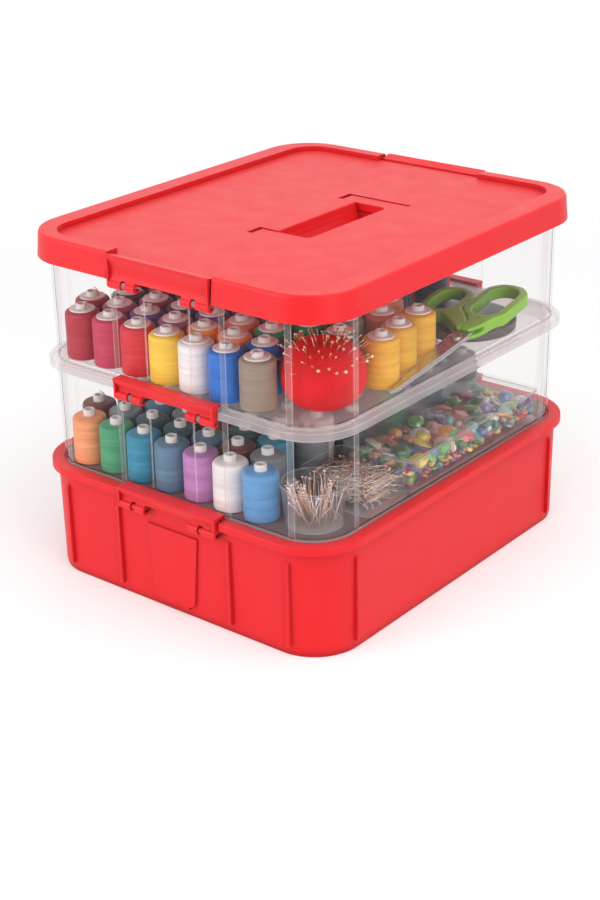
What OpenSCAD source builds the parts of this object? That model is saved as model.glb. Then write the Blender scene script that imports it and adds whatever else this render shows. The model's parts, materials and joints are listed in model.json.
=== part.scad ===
// Stacking storage box for thread spools and sewing tools: a red base tray, two clear trays,
// a red lid with a folding handle, and a pair of snap latches at each of the three joints.
// X runs across the latched faces, Y from the front latch to the back one, Z is up.

/* [Clear trays] */
// Half width of a clear tray's outer wall, across the latched faces
tray_half_x = 127.5; // [115:0.5:140]
// Half depth of a clear tray's outer wall, from middle to latched face
tray_half_y = 151; // [135:0.5:165]
// Outer corner radius of a clear tray
tray_corner_r = 32.5; // [26:0.5:40]
// Height of one clear tray, from its foot to its rim
tray_h = 80; // [70:1:100]
// Wall thickness of a clear tray
tray_wall = 1.8; // [1.4:0.1:2.4]
// Thickness of a clear tray's floor
tray_floor = 2.3; // [1.5:0.1:3]
// How far the tray wall leans in at the foot
tray_draft = 0.5; // [0.2:0.1:1]
// How far the rim flange stands out from the tray wall
flange_w = 5.5; // [4:0.1:7]
// Height of the rim flange
flange_h = 5; // [4:0.5:7]
// Depth of the ring under the floor that nests in the layer below
plug_h = 10; // [5:0.5:14]

/* [Base tray] */
// Height of the base tray, from the ground to its rim
base_h = 84; // [60:1:110]
// Wall thickness of the base tray
base_wall = 2.4; // [1.8:0.1:3]
// How far the base wall stands outside the clear tray wall
base_step = 4.7; // [3.5:0.1:6]
// How far the base rim stands out from the base wall
base_rim_w = 4.5; // [3.5:0.1:6]
// Height of the base rim's skirt
base_rim_h = 5.5; // [4:0.5:8]
// Depth of the rebate in the base rim that the lower tray stands in
rebate_h = 1; // [0.5:0.1:2]

/* [Lid] */
// Height of the lid's border above the upper tray's rim
lid_h = 13; // [12:0.5:16]
// Depth of the handle panel below the border
panel_drop = 4; // [2:0.5:5]
// Thickness of the lid's plates
lid_t = 2.2; // [1.8:0.1:2.6]
// Width of the raised border on the long sides
border_x = 17; // [13.5:0.5:24]
// Width of the raised border at the latched faces
border_y = 11; // [9:0.5:16]
// How far the lid's skirt hangs over the rim flange
skirt_drop = 5.5; // [3:0.5:6]

/* [Handle] */
// Length of the handle from its pivot to the outside of the grip
handle_reach = 51.5; // [45:0.5:60]
// Half length of the handle along the grip
handle_half = 58.2; // [45:0.5:70]
// Width of each handle leg
leg_w = 13; // [9:0.5:16]
// Width of the grip
grip_w = 11.3; // [9:0.1:14]
// Thickness of the handle
handle_t = 6; // [5:0.5:7]
// Place of the handle's pivot across the lid
pivot_x = -4.2; // [-12:0.1:2]
// Depth of the finger well under the grip
well_d = 16.5; // [13:0.5:20]

/* [Latches] */
// Half width of a latch
latch_half = 45; // [38:0.5:50]
// Height of a lid latch above its hinge
lid_latch_h = 20.8; // [20:0.1:22]
// Height of a tray latch above its hinge
tray_latch_h = 12.3; // [12:0.1:13]
// Height of a base latch above its hinge
base_latch_h = 13; // [12.8:0.1:13.8]
// Depth of a tray's hinge pins below its rim
tray_hinge_drop = 8.3; // [8:0.1:8.6]
// Depth of the base's hinge pins below its rim
base_hinge_drop = 10; // [9.8:0.1:10.4]
// Radius of a hinge pin
pin_r = 1.6; // [1.3:0.1:1.9]
// Outer radius of a latch knuckle
knuckle_r = 3.4; // [3:0.1:3.8]
// Running clearance between a pin and its bore
pin_gap = 0.08; // [0.05:0.01:0.1]

/* [Thread spools] */
// Radius of a thread winding
winding_r = 12.4; // [10:0.1:12.6]
// Height of a thread winding
winding_h = 34.5; // [28:0.5:38]
// Radius of a spool's core tube
core_r = 4.3; // [3.5:0.1:5]
// How far a core tube stands out of its winding
core_out = 4.5; // [2:0.5:7]
// Distance between neighbouring spools in a row
spool_pitch = 26.6; // [26:0.1:26.8]
// Distance between rows of spools
row_pitch = 23.5; // [22.5:0.1:23.8]

/* [Sewing goods] */
// Radius of the pincushion
cushion_r = 30; // [24:0.5:30]
// Height of the pincushion
cushion_h = 46; // [36:1:50]
// Length of a scissor blade from its pivot
blade_len = 92; // [80:1:94]
// Thickness of one scissor blade
blade_t = 1.6; // [1.2:0.1:2]
// Thickness of the scissor grips
grips_t = 9.3; // [7:0.1:11]
// Radius of the flat round tin
tin_r = 37.5; // [30:0.5:38]
// Height of the flat round tin
tin_h = 6.5; // [4:0.1:7]
// Rim radius of the pin cup
cup_r = 23.3; // [20:0.1:23.5]
// Height of the pin cup
cup_h = 30; // [20:1:36]
// Height of the bead box and the pin box
box_h = 24.5; // [20:0.5:30]
// Wall thickness of the cup and the boxes
box_wall = 1.2; // [0.8:0.1:1.6]
// Radius of a bead
bead_r = 6.4; // [5:0.1:6.6]

/* [Hidden] */

red = [0.90, 0.10, 0.13];
clear = [0.86, 0.88, 0.92, 0.35];
steel = [0.72, 0.72, 0.74];
grip_green = [0.50, 0.76, 0.20];
nothing = 0.01;
round_fn = 96;
small_fn = 40;

// Levels
lower_foot = base_h - rebate_h;
upper_foot = lower_foot + tray_h;
stack_top = upper_foot + tray_h;
lid_top = stack_top + lid_h;
panel_z = lid_top - panel_drop;
lower_floor = lower_foot + tray_floor;
upper_floor = upper_foot + tray_floor;
fit_gap = 0.5;

// Latch notches, hinges and their clearances
notch_half = latch_half + 1.5;
lip_gap = 0.3;
lip_in = tray_half_y + lip_gap;
hinge_out = 5.9;
base_hinge_out = 3.9;
tray_hinge_y = tray_half_y + hinge_out;
base_half_x = tray_half_x + base_step;
base_half_y = tray_half_y + base_step;
base_corner_r = tray_corner_r + base_step;
base_hinge_y = base_half_y + base_hinge_out;
base_hinge_z = base_h - base_hinge_drop;
ear_x = latch_half - 14;
ear_t = 2.5;
slot_w = 4;
knuckle_start = ear_x - 10.5;
latch_t = 1.8;
lip_t = 2.4;
channel_d = 2.6;
plate_out = knuckle_r - 0.3;

// Plain outlines

module rounded(hx, hy, r) {
    square([2 * (hx - r), 2 * hy], center = true);
    square([2 * hx, 2 * (hy - r)], center = true);
    for (x = [-1, 1], y = [-1, 1])
        translate([x * (hx - r), y * (hy - r)]) circle(r = r, $fn = round_fn);
}

// Sweeps a section, drawn as offset from the outline and height, round a rounded rectangle
module swept(hx, hy, r) {
    for (q = [0:3])
        translate([(q == 0 || q == 3 ? 1 : -1) * (hx - r), (q < 2 ? 1 : -1) * (hy - r), 0])
            rotate([0, 0, q * 90])
                rotate_extrude(angle = 90, $fn = round_fn) translate([r, 0]) children();
    for (turn = [0, 180])
        rotate([0, 0, turn]) translate([hx, hy - r, 0])
            rotate([90, 0, 0]) linear_extrude(2 * (hy - r)) children();
    for (turn = [90, 270])
        rotate([0, 0, turn]) translate([hy, hx - r, 0])
            rotate([90, 0, 0]) linear_extrude(2 * (hx - r)) children();
}

// Extrudes a section, drawn as distance out of the front face and height, from x0 to x1
module across(x0, x1) {
    translate([x1, 0, 0]) rotate([90, 0, -90]) linear_extrude(x1 - x0) children();
}

// A bar along X at distance out and height z, from x0 to x1
module rod(x0, x1, out, z, r) {
    across(x0, x1) translate([out, z]) circle(r = r, $fn = small_fn);
}

module both_faces() {
    children();
    rotate([0, 0, 180]) children();
}

module both_sides() {
    children();
    mirror([1, 0, 0]) children();
}

// Hinge ears and pins for one latch, standing on a wall at wall_y
module hinge_pins(wall_y, axis_y, axis_z) {
    ear_r = pin_r + 0.8;
    both_sides() {
        across(ear_x - ear_t / 2, ear_x + ear_t / 2) {
            translate([axis_y, axis_z]) circle(r = ear_r, $fn = small_fn);
            polygon([[wall_y - 1, axis_z - ear_r - 3], [wall_y, axis_z - ear_r - 3],
                     [axis_y, axis_z - ear_r], [axis_y, axis_z + ear_r], [wall_y - 1, axis_z + ear_r]]);
        }
        rod(knuckle_start + 1.5, latch_half - 2, axis_y, axis_z, pin_r);
    }
}

// Clear trays

rib_w = 4.6;
rib_out = 0.6;
mid_rib_x = notch_half + rib_w / 2 - 0.8;
thin_rib_x = 20;
thin_rib_w = 1.2;
side_rib_y = tray_half_y - tray_corner_r - 4;
corner_rib_turn = 12.4;
top_t = 1.8;

module tray_section() {
    in = -tray_wall;
    plug = in - fit_gap;
    polygon([[in, tray_h], [flange_w - 0.3, tray_h], [flange_w, tray_h - 0.6],
             [flange_w + 0.2, tray_h - flange_h], [flange_w - top_t, tray_h - flange_h],
             [flange_w - top_t, tray_h - top_t], [0, tray_h - top_t], [-tray_draft, 0],
             [plug, 0], [plug - 0.3, -plug_h], [plug - 2.1, -plug_h],
             [plug - 1.9, 1], [in - tray_draft, 1]]);
}

module tray_ribs() {
    rib_top = tray_h - top_t - 0.2;
    both_faces() both_sides() {
        translate([mid_rib_x - rib_w / 2, -tray_half_y - rib_out, 1.5])
            cube([rib_w, 1.2 + rib_out, rib_top - 1.5]);
        translate([tray_half_x - tray_corner_r, tray_corner_r - tray_half_y, 1.5])
            rotate([0, 0, corner_rib_turn]) translate([-rib_w / 2, -tray_corner_r - rib_out, 0])
                cube([rib_w, 1.2 + rib_out, rib_top - 1.5]);
        translate([tray_half_x - 1.2, -side_rib_y - rib_w / 2, 1.5])
            cube([1.2 + rib_out, rib_w, rib_top - 1.5]);
        translate([thin_rib_x - thin_rib_w / 2, -tray_half_y - rib_out, 6])
            cube([thin_rib_w, 1.2 + rib_out, tray_h - 22]);
    }
}

module tray(foot) {
    color(clear) translate([0, 0, foot]) {
        difference() {
            union() {
                swept(tray_half_x, tray_half_y, tray_corner_r) tray_section();
                linear_extrude(tray_floor)
                    rounded(tray_half_x - 1.5, tray_half_y - 1.5, tray_corner_r - 1.5);
            }
            both_faces() translate([-notch_half, -tray_half_y - 10, tray_h - flange_h - 1])
                cube([2 * notch_half, 10, flange_h + 2]);
        }
        tray_ribs();
        both_faces() hinge_pins(tray_half_y, tray_hinge_y, tray_h - tray_hinge_drop);
    }
}

module lower_tray() { tray(lower_foot); }
module upper_tray() { tray(upper_foot); }

// Base tray

base_floor_t = 2.4;
base_draft = 0.9;
foot_h = 3;
base_rib_w = 2.5;
base_rib_out = 2;
base_mid_rib_x = 51;
base_corner_turn = 10;
base_side_turn = 3.9;
pad_top = 23;
pad_bottom = 18.5;
pad_out = 1.2;

module base_section() {
    ledge = -base_step - tray_wall;
    rebate = -base_step + 0.3;
    polygon([[ledge, base_h - 3], [ledge, lower_foot], [rebate, lower_foot], [rebate, base_h],
             [base_rim_w - 0.4, base_h], [base_rim_w, base_h - 0.6],
             [base_rim_w + 0.2, base_h - base_rim_h], [base_rim_w - 1.6, base_h - base_rim_h],
             [base_rim_w - 1.6, base_h - 2], [0, base_h - 2],
             [-base_draft, foot_h], [-base_draft - 0.5, foot_h], [-base_draft - 0.7, 0],
             [-base_wall - 2, 0], [-base_wall - base_draft, 2.2], [-base_wall, base_h - 6]]);
}

module base_rib() {
    translate([-base_rib_w / 2, 0, 0]) rotate([90, 0, 90]) linear_extrude(base_rib_w)
        polygon([[2, 7], [-base_rib_out + 0.6, 7], [-base_rib_out, 9], [-base_rib_out, base_h - 16],
                 [0, base_h - 13.5], [2, base_h - 13.5]]);
}

module base_ribs() {
    both_faces() both_sides() {
        translate([base_mid_rib_x, -base_half_y, 0]) base_rib();
        translate([base_half_x - base_corner_r, base_corner_r - base_half_y, 0])
            for (turn = [base_corner_turn, 90 - base_side_turn])
                rotate([0, 0, turn]) translate([0, -base_corner_r, 0]) base_rib();
    }
}

// Raised pad below a base latch, with a small step at its foot
module base_pad() {
    translate([0, -base_half_y + 2, 0]) rotate([90, 0, 0]) {
        linear_extrude(2 + pad_out)
            polygon([[-pad_bottom + 3, 8], [pad_bottom - 3, 8], [pad_bottom, 11],
                     [pad_top, base_h - 21], [-pad_top, base_h - 21], [-pad_bottom, 11]]);
        linear_extrude(2 + pad_out - 0.4)
            polygon([[-13, 5.6], [13, 5.6], [13, 9], [-13, 9]]);
    }
}

module base_tray() {
    color(red) {
        difference() {
            union() {
                swept(base_half_x, base_half_y, base_corner_r) base_section();
                linear_extrude(base_floor_t)
                    rounded(base_half_x - 3, base_half_y - 3, base_corner_r - 3);
            }
            both_faces() translate([-notch_half, -base_half_y - 10, base_h - base_rim_h - 1])
                cube([2 * notch_half, 10, base_rim_h + 2]);
        }
        base_ribs();
        both_faces() base_pad();
        both_faces() hinge_pins(base_half_y, base_hinge_y, base_hinge_z);
    }
}

// Latches

// Section of the latch plate and lip, from its hinge axis at 0, 0
module latch_section(h, reach, lip_fall) {
    steps = 8;
    plate_top = h - lip_t;
    function bow(t) = channel_d * sin(180 * t);
    polygon(concat(
        [for (a = [60:-15:15]) plate_out * [cos(a), -sin(a)]],
        [for (i = [0:steps]) [plate_out - bow(i / steps), plate_top * i / steps]],
        [[knuckle_r, h - 0.5], [knuckle_r - 0.5, h], [-reach, h - lip_fall],
         [-reach, h - lip_fall - lip_t + 0.6], [plate_out - latch_t - 1, plate_top]],
        [for (i = [steps:-1:0]) [plate_out - latch_t - bow(i / steps) * 0.9, plate_top * i / steps]]));
}

// A latch on its own hinge axis, with two slotted lobes whose split knuckles clip over the pins
module latch(h, reach, lip_fall) {
    lobe_in = ear_x - 4;
    gap_in = ear_x - 11;
    end_t = 1.6;
    end_inset = 0.2;
    end_in = -2.8;
    split = 2.2;
    difference() {
        union() {
            difference() {
                union() {
                    across(-latch_half, latch_half) latch_section(h, reach, lip_fall);
                    both_sides() across(latch_half - end_inset - end_t, latch_half - end_inset)
                        polygon([[end_in, 0], [plate_out, 0], [plate_out, h - 1],
                                 [end_in, h - lip_fall - 1]]);
                }
                translate([0, 20, 0]) rotate([90, 0, 0]) linear_extrude(40)
                    polygon([[-lobe_in, -knuckle_r - 1], [lobe_in, -knuckle_r - 1],
                             [lobe_in, -knuckle_r + 1], [gap_in, 4], [-gap_in, 4],
                             [-lobe_in, -knuckle_r + 1]]);
            }
            both_sides() rod(knuckle_start, latch_half - 2 * end_inset, 0, 0, knuckle_r);
        }
        both_sides() {
            translate([ear_x - slot_w / 2, -20, -knuckle_r - 1])
                cube([slot_w, 40, 2 * knuckle_r + 1.3]);
            rod(knuckle_start - 1, latch_half + 1, 0, 0, pin_r + pin_gap);
            across(knuckle_start - 1, latch_half + 1)
                translate([-knuckle_r - 1, -split / 2]) square([knuckle_r + 1, split]);
        }
    }
}

module front_latch(axis_y, axis_z, h, lip_fall) {
    color(red) translate([0, -axis_y, axis_z]) latch(h, axis_y - lip_in, lip_fall);
}

module back_latch(axis_y, axis_z, h, lip_fall) {
    rotate([0, 0, 180]) front_latch(axis_y, axis_z, h, lip_fall);
}

lid_lip_fall = 2.2;
lower_hinge_z = upper_foot - tray_hinge_drop;
upper_hinge_z = stack_top - tray_hinge_drop;

module base_latch_front() { front_latch(base_hinge_y, base_hinge_z, base_latch_h, 0); }
module base_latch_back() { back_latch(base_hinge_y, base_hinge_z, base_latch_h, 0); }
module lower_latch_front() { front_latch(tray_hinge_y, lower_hinge_z, tray_latch_h, 0); }
module lower_latch_back() { back_latch(tray_hinge_y, lower_hinge_z, tray_latch_h, 0); }
module upper_latch_front() { front_latch(tray_hinge_y, upper_hinge_z, lid_latch_h, lid_lip_fall); }
module upper_latch_back() { back_latch(tray_hinge_y, upper_hinge_z, lid_latch_h, lid_lip_fall); }

// Lid

lid_gap = 0.5;
lid_half_x = tray_half_x + flange_w + 1.2;
lid_half_y = tray_half_y + flange_w + 1.1;
lid_corner_r = tray_corner_r + flange_w;
lid_flare = 1.4;
edge_r = 2;
inner_r = 22;
ring_t = 2.4;
pocket_gap = 0.6;
leg_in = handle_half - leg_w;
pivot_z = panel_z - 0.7 - handle_t / 2;
pocket_x0 = pivot_x - handle_t / 2 - pocket_gap;
pocket_x1 = pivot_x + handle_reach + pocket_gap;
pocket_y = handle_half + pocket_gap;
well_y = leg_in - pocket_gap;
leg_floor = pivot_z - handle_t / 2 - 0.7;
well_floor = panel_z - well_d;
pocket_t = 2;
axle_r = 2;
well_x0 = 9;
ramp_w = 11;

module lid_section() {
    inside = flange_w + lid_gap - (lid_half_x - tray_half_x);
    low = stack_top - skirt_drop;
    polygon([[-edge_r - 1, lid_top], [-edge_r, lid_top], [-0.6, lid_top - 0.6], [0, lid_top - edge_r],
             [lid_flare, low + 0.4], [lid_flare - 0.4, low], [inside, low],
             [inside - 0.8, lid_top - lid_t], [-edge_r - 1, lid_top - lid_t]]);
}

// Ring that stands on the upper tray's rim and drops just inside it
module seat_section() {
    in = -tray_wall - fit_gap;
    polygon([[in - 1.8, stack_top - 3], [in - 0.2, stack_top - 3], [in, stack_top],
             [-0.1, stack_top], [-0.1, lid_top - 1], [in - 1.8, lid_top - 1]]);
}

// Section of the finger well: a steep rounded ramp on one side, upright under the grip
module well_section(grow) {
    ramp = [for (a = [0:15:90]) [well_x0 + ramp_w * (1 - cos(a)) * 0.9, 1 - sin(a)]];
    polygon(concat(
        [[pocket_x1 + grow, well_floor - grow], [pocket_x1 + grow, panel_z + 1],
         [well_x0 - 1.5 - grow, panel_z + 1]],
        [for (p = ramp) [p[0] - grow, well_floor - grow + p[1] * (well_d + grow - 0.6)]]));
}

module lid_outer() {
    swept(lid_half_x, lid_half_y, lid_corner_r) lid_section();
    translate([0, 0, lid_top - lid_t]) linear_extrude(lid_t) difference() {
        rounded(lid_half_x - edge_r, lid_half_y - edge_r, lid_corner_r - edge_r);
        rounded(lid_half_x - border_x, lid_half_y - border_y, inner_r);
    }
    translate([0, 0, panel_z - lid_t]) linear_extrude(lid_top - nothing - panel_z + lid_t) difference() {
        rounded(lid_half_x - border_x + ring_t, lid_half_y - border_y + ring_t, inner_r + ring_t);
        rounded(lid_half_x - border_x, lid_half_y - border_y, inner_r);
    }
    translate([0, 0, panel_z - lid_t]) linear_extrude(lid_t)
        rounded(lid_half_x - border_x + 1, lid_half_y - border_y + 1, inner_r + 1);
    swept(tray_half_x, tray_half_y, tray_corner_r) seat_section();
}

// Upright webs between the seat ring and the skirt
module lid_webs() {
    web_y = 36;
    end_web_x = tray_half_x - 49.5;
    both_sides() for (y = [-3:3])
        translate([tray_half_x - 1, y * web_y - 0.8, stack_top + 1])
            cube([flange_w + 1.4, 1.6, lid_h - 2]);
    both_faces() both_sides()
        translate([end_web_x, -tray_half_y - flange_w - 0.5, stack_top + 1])
            cube([1.6, flange_w + 1, lid_h - 2]);
}

// Clears the border over a latch and closes the cut ends with cheeks
module notch_cut() {
    translate([-notch_half, -lid_half_y - 10, stack_top - 10])
        cube([2 * notch_half, lid_half_y + 10 - tray_half_y, lid_h + 20]);
    translate([-notch_half, -lid_half_y - 10, panel_z])
        cube([2 * notch_half, border_y + 10 + nothing, lid_h]);
}

module notch_cheeks() {
    cheek_t = 1.8;
    both_sides() {
        translate([notch_half, -lid_half_y + 1, stack_top + 0.6])
            cube([cheek_t, border_y - 1, lid_h - 1.2]);
        translate([latch_half + 0.4, -lid_half_y + 1, panel_z - 2.4])
            cube([notch_half - latch_half, 3, 2.4]);
    }
    translate([-notch_half - 1, -tray_half_y + 0.1, panel_z - lid_t])
        cube([2 * notch_half + 2, border_y, lid_t]);
}

module pocket_shell() {
    rotate([90, 0, 0]) translate([0, 0, -well_y - pocket_t])
        linear_extrude(2 * (well_y + pocket_t)) intersection() {
            well_section(pocket_t);
            translate([pocket_x0, 0]) square([pocket_x1 - pocket_x0 + 2 * pocket_t, panel_z - nothing]);
        }
    both_leg_spans(pocket_t);
}

// Room for the two handle legs, grown outward by the wall around them
module both_leg_spans(grow) {
    for (side = [-1, 1])
        translate([pocket_x0 - grow, side > 0 ? well_y - grow : -pocket_y - grow, leg_floor - grow])
            cube([pocket_x1 - pocket_x0 + 2 * grow, pocket_y - well_y + 2 * grow,
                  panel_z - leg_floor + grow - (grow > 0 ? nothing : -1)]);
}

module lid() {
    boss_r = 3.4;
    boss_len = 3;
    color(red) difference() {
        union() {
            difference() {
                union() {
                    lid_outer();
                    lid_webs();
                }
                both_faces() notch_cut();
            }
            both_faces() notch_cheeks();
            pocket_shell();
            for (side = [-1, 1])
                translate([pivot_x, side * (pocket_y + pocket_t + boss_len / 2 - nothing), pivot_z])
                    rotate([90, 0, 0]) cylinder(r = boss_r, h = boss_len, center = true, $fn = small_fn);
        }
        both_leg_spans(0);
        rotate([90, 0, 0]) translate([0, 0, -well_y - nothing])
            linear_extrude(2 * (well_y + nothing)) well_section(0);
        translate([pivot_x, 0, pivot_z]) rotate([90, 0, 0])
            cylinder(r = axle_r + pin_gap, h = 2 * (pocket_y + pocket_t + boss_len + 1),
                     center = true, $fn = small_fn);
    }
}

// Handle

module handle() {
    grip_x = handle_reach - grip_w;
    bend_r = 5;
    axle_out = 3.6;
    color(red) {
        translate([pivot_x, 0, pivot_z - handle_t / 2]) linear_extrude(handle_t) difference() {
            translate([0, -handle_half]) square([handle_reach, 2 * handle_half]);
            translate([-1, -leg_in]) square([grip_x + 1 - bend_r, 2 * leg_in]);
            translate([-1, -leg_in + bend_r]) square([grip_x + 1, 2 * (leg_in - bend_r)]);
            for (y = [-1, 1]) translate([grip_x - bend_r, y * (leg_in - bend_r)])
                circle(r = bend_r, $fn = small_fn);
        }
        for (side = [-1, 1]) {
            translate([pivot_x, side * (handle_half - leg_w / 2), pivot_z]) rotate([90, 0, 0])
                cylinder(r = handle_t / 2, h = leg_w, center = true, $fn = small_fn);
            translate([pivot_x, side * (handle_half + axle_out / 2), pivot_z]) rotate([90, 0, 0])
                cylinder(r = axle_r, h = axle_out + nothing, center = true, $fn = small_fn);
        }
    }
}

// Thread spools. Each row lists its colours from left to right; a short row ends where
// the goods on the right begin. Every other row is shifted by half a spool.

inner_x = tray_half_x - tray_wall - tray_draft;
inner_y = tray_half_y - tray_wall - tray_draft;
inside_r = tray_corner_r - tray_wall - tray_draft;
first_row_y = -inner_y + winding_r + 0.1;
first_row_x = -inner_x + winding_r + spool_pitch / 2 + 4.5;
goods_gap = 0.2;
core_gap = 0.1;
cap_r = 9;
cap_t = 1.1;

upper_rows = [
    ["dark_red", "crimson", "red", "yellow", "white", "blue", "taupe"],
    ["dark_red", "magenta", "violet", "mauve", "orange", "peach", "blue"],
    ["plum", "magenta", "plum", "violet", "peach", "green"],
    ["dark_red", "plum", "navy", "plum", "mauve", "taupe", "green", "teal"],
    ["crimson", "navy", "teal", "green", "orange", "salmon", "taupe"],
    ["red", "mauve", "blue", "navy", "yellow", "peach", "teal", "salmon"],
    ["plum", "crimson", "green", "teal", "red", "navy", "peach"],
    ["violet", "blue", "orange", "taupe", "plum", "teal", "navy"],
    ["white", "magenta", "yellow", "navy", "crimson", "navy"],
    ["teal", "red", "white", "green", "plum", "dark_red"],
    ["blue", "salmon", "violet", "orange", "green", "navy"],
    ["crimson", "yellow", "teal", "magenta", "white", "red"]];
amber_spots = [for (p = [[18.9, 90.7], [23.2, 116.7], [27.6, 145.8]]) [inner_x - p[0], p[1] - inner_y]];

lower_rows = [
    ["peach", "green", "teal_blue", "slate", "lavender", "white", "light_blue"],
    ["brown_red", "grey", "dark_teal", "dark_teal", "slate", "brown_red", "grey"],
    ["dark_teal", "slate", "grey", "brown_red", "dark_teal", "teal_blue"],
    ["grey", "peach", "brown_red", "slate", "green", "white", "grey"],
    ["teal_blue", "dark_teal", "lavender", "grey", "brown_red", "white"],
    ["slate", "brown_red", "green", "dark_teal", "peach", "light_blue", "dark_teal"],
    ["white", "slate", "grey", "lavender", "teal_blue", "brown_red"],
    ["brown_red", "light_blue", "dark_teal", "peach", "slate", "grey", "green"],
    ["peach", "grey", "white", "green", "dark_teal", "lavender"],
    ["dark_teal", "lavender", "slate", "light_blue", "grey", "brown_red", "slate"],
    ["green", "brown_red", "teal_blue", "slate", "white", "dark_teal"],
    ["light_blue", "white", "peach", "brown_red", "green", "teal_blue", "grey"]];

thread_colours = [
    ["dark_red", [0.68, 0.12, 0.20]], ["crimson", [0.75, 0.18, 0.32]], ["red", [0.82, 0.12, 0.18]],
    ["yellow", [0.96, 0.78, 0.25]], ["white", [0.92, 0.90, 0.89]], ["blue", [0.08, 0.42, 0.78]],
    ["taupe", [0.58, 0.51, 0.45]], ["magenta", [0.66, 0.26, 0.45]], ["violet", [0.43, 0.28, 0.62]],
    ["mauve", [0.60, 0.38, 0.52]], ["orange", [0.98, 0.62, 0.14]], ["peach", [0.94, 0.60, 0.40]],
    ["plum", [0.34, 0.18, 0.30]], ["green", [0.24, 0.60, 0.42]], ["teal", [0.18, 0.42, 0.44]],
    ["salmon", [0.88, 0.46, 0.38]], ["navy", [0.16, 0.18, 0.32]], ["amber", [0.92, 0.68, 0.16]],
    ["teal_blue", [0.14, 0.54, 0.66]], ["slate", [0.34, 0.48, 0.58]], ["lavender", [0.72, 0.48, 0.72]],
    ["light_blue", [0.36, 0.60, 0.80]], ["brown_red", [0.44, 0.20, 0.20]],
    ["dark_teal", [0.14, 0.32, 0.36]], ["grey", [0.52, 0.54, 0.56]]];
function thread_rgb(name) = [for (c = thread_colours) if (c[0] == name) c[1]][0];

function spot(k, i) = [first_row_x + i * spool_pitch - (k % 2) * spool_pitch / 2,
                       first_row_y + k * row_pitch];

// The rows hold as many spools as there is room for beside the walls and the goods
function clear_of(p, at, r) = norm(p - at) >= r + winding_r + goods_gap;
function in_tray(p) = let (limit = winding_r + goods_gap)
    abs(p[0]) <= inner_x - limit && abs(p[1]) <= inner_y - limit + goods_gap
    && norm([max(abs(p[0]) - inner_x + inside_r, 0), max(abs(p[1]) - inner_y + inside_r, 0)])
       <= inside_r - limit + goods_gap;
function upper_room(p) = in_tray(p) && clear_of(p, cushion_at, cushion_r)
    && len([for (a = amber_spots) if (!clear_of(p, a, winding_r)) 1]) == 0
    && clear_of(p, tin_at, tin_r);
function lower_room(p) = in_tray(p) && clear_of(p, cup_at, cup_r)
    && (p[1] < pin_box_y0 - winding_r || p[0] < box_x0 - winding_r - goods_gap);
function room(rows, p) = rows == upper_rows ? upper_room(p) : lower_room(p);

function all_spots(rows) = [for (k = [0:len(rows) - 1], i = [0:len(rows[k]) - 1])
    if (room(rows, spot(k, i))) spot(k, i)];
function spots(rows, name) = [for (k = [0:len(rows) - 1], i = [0:len(rows[k]) - 1])
    if (rows[k][i] == name && room(rows, spot(k, i))) spot(k, i)];

module winding() {
    in = core_r + core_gap;
    rotate_extrude($fn = small_fn)
        polygon([[in, 0], [winding_r - 0.8, 0], [winding_r, 1.2], [winding_r, winding_h - 2.4],
                 [winding_r - 1.2, winding_h - 0.7], [winding_r - 3, winding_h], [in, winding_h]]);
}

module core(with_cap) {
    top = winding_h + core_out;
    rotate_extrude($fn = small_fn) {
        polygon([[core_r - 1.6, 0], [core_r, 0], [core_r, top - 0.6], [core_r - 0.6, top],
                 [core_r - 1.6, top]]);
        if (with_cap)
            translate([core_r - 0.6, winding_h]) square([cap_r - core_r + 0.6, cap_t]);
    }
}

module windings(name, places, floor_z) {
    color(thread_rgb(name)) for (p = places) translate([p[0], p[1], floor_z]) winding();
}

module cores(places, floor_z, with_cap) {
    color([0.93, 0.91, 0.88]) for (p = places) translate([p[0], p[1], floor_z]) core(with_cap);
}

module upper_thread(name) { windings(name, spots(upper_rows, name), upper_floor); }
module lower_thread(name) { windings(name, spots(lower_rows, name), lower_floor); }
module upper_thread_amber() { windings("amber", amber_spots, upper_floor); }
module upper_spool_cores() { cores(concat(all_spots(upper_rows), amber_spots), upper_floor, true); }
module lower_spool_cores() { cores(all_spots(lower_rows), lower_floor, false); }

// Pincushion: a squat stuffed ball with sewn lobes, flat underneath and dimpled on top

cushion_at = [inner_x - cushion_r - 1, 43.4 - inner_y];
lobes = 8;
lobe_d = 0.05;
rings = 15;
ring_pts = 48;
dimple = 5;

function cushion_up(j) = -62 + 152 * j / (rings - 1);
function cushion_rad(j) = cushion_r * pow(max(cos(cushion_up(j)), 0), 0.75);
function cushion_z(j) = cushion_h * (sin(cushion_up(j)) + sin(62)) / (1 + sin(62));
function dip(r) = dimple * exp(-pow(r / (0.3 * cushion_r), 2));
function furrow(a) = 1 - lobe_d * pow(abs(cos(lobes * a / 2)), 6);
function cushion_ring(j) = [for (i = [0:ring_pts - 1]) let (a = 360 * i / ring_pts,
    r = cushion_rad(j) * furrow(a)) [r * cos(a), r * sin(a), cushion_z(j) - (j > rings / 2 ? dip(r) : 0)]];

module pincushion() {
    points = concat([[0, 0, 0]], [for (j = [0:rings - 2]) each cushion_ring(j)],
                    [[0, 0, cushion_h - dimple]]);
    last = len(points) - 1;
    faces = concat(
        [for (i = [0:ring_pts - 1]) [0, 1 + i, 1 + (i + 1) % ring_pts]],
        [for (j = [0:rings - 3], i = [0:ring_pts - 1]) let (a = 1 + j * ring_pts + i,
            b = 1 + j * ring_pts + (i + 1) % ring_pts) each [[a, a + ring_pts, b], [b, a + ring_pts, b + ring_pts]]],
        [for (i = [0:ring_pts - 1]) let (a = 1 + (rings - 2) * ring_pts)
            [a + (i + 1) % ring_pts, a + i, last]]);
    color([0.82, 0.06, 0.10]) translate([cushion_at[0], cushion_at[1], upper_floor])
        polyhedron(points, faces);
}

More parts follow.
